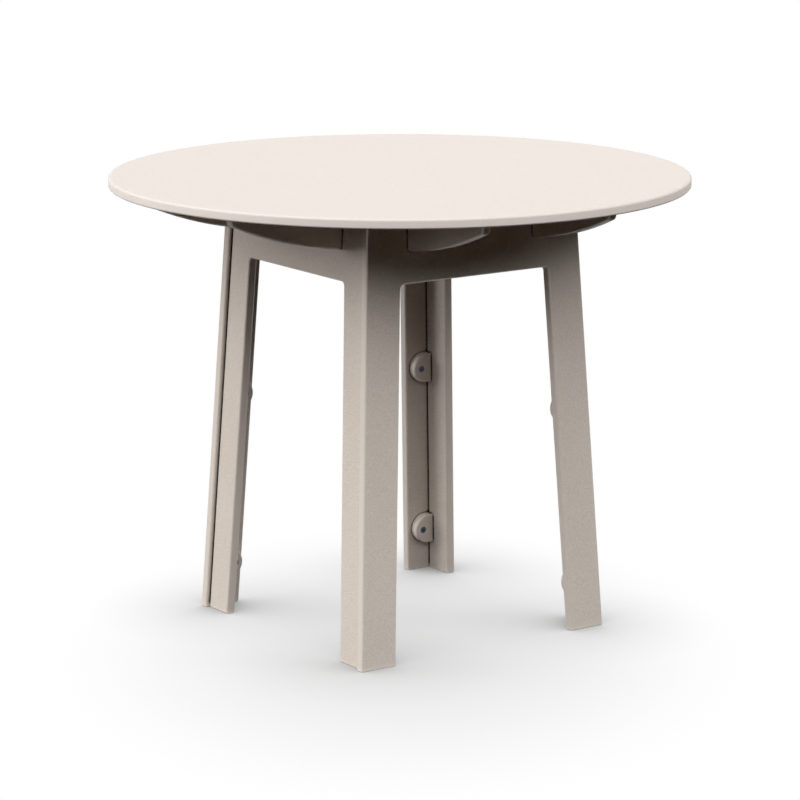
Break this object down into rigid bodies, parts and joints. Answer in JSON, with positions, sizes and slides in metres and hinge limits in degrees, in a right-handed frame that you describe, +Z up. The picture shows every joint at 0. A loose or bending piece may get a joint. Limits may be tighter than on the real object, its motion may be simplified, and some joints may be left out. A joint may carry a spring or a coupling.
{
  "type": "round garden table",
  "caption": "Round outdoor table of plastic sheet: a thin disc on crossed beams and a splayed square base of portal panels joined by half-round corner blocks.",
  "frame": {"origin": "on the floor, under the middle of the top", "axes": "+Z up; the full-width panels face -Y and +Y, and the inset panels face -X and +X"},
  "size_m": [0.9649, 0.965, 0.76],
  "materials": {
    "top_sheet": "fine matt",
    "frame_sheet": "fine pebbled matt",
    "screw_steel": "dark coated",
    "insert_brass": "turned"
  },
  "bodies": {
    "root": {"table_top": "top_sheet", "front_panel": "frame_sheet", "back_panel": "frame_sheet", "left_panel": "frame_sheet", "right_panel": "frame_sheet", "front_beam": "frame_sheet", "back_beam": "frame_sheet", "right_beam": "frame_sheet", "left_beam": "frame_sheet", "front_left_lower_block": "frame_sheet", "front_right_lower_block": "frame_sheet", "back_right_lower_block": "frame_sheet", "back_left_lower_block": "frame_sheet", "front_left_upper_block": "frame_sheet", "front_right_upper_block": "frame_sheet", "back_right_upper_block": "frame_sheet", "back_left_upper_block": "frame_sheet", "block_screws": "screw_steel", "top_screws": "screw_steel", "rail_screws": "screw_steel", "block_inserts": "insert_brass", "top_inserts": "insert_brass", "rail_inserts": "insert_brass"}
  },
  "joints": []
}
